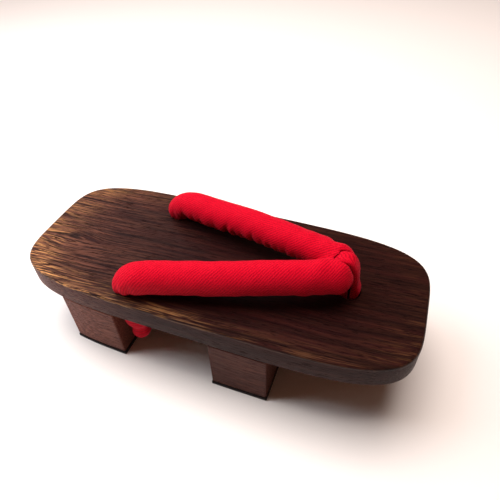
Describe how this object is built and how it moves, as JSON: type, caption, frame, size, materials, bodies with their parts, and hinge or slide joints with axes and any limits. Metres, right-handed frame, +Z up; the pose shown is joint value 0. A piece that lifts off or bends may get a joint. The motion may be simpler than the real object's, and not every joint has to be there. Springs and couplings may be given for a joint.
{
  "type": "geta sandal",
  "caption": "Wooden geta sandal with a flat rounded board on two cross teeth with rubber pads, and a thick padded red cloth thong strap.",
  "frame": {"origin": "on the floor under the rubber pads, below the middle of the board", "axes": "+X towards the toe, +Z up, -Y the side that faces the camera in the picture"},
  "size_m": [0.24, 0.0994, 0.0824],
  "materials": {
    "stained_wood": "dark brown stain, satin, open lengthwise grain",
    "black_rubber": "matt black",
    "red_cloth": "bright red ribbed twill over padding"
  },
  "bodies": {
    "root": {"board": "stained_wood", "rear_tooth": "stained_wood", "front_tooth": "stained_wood", "rear_pad": "black_rubber", "front_pad": "black_rubber", "straps": "red_cloth", "front_thong": "red_cloth"}
  },
  "joints": []
}
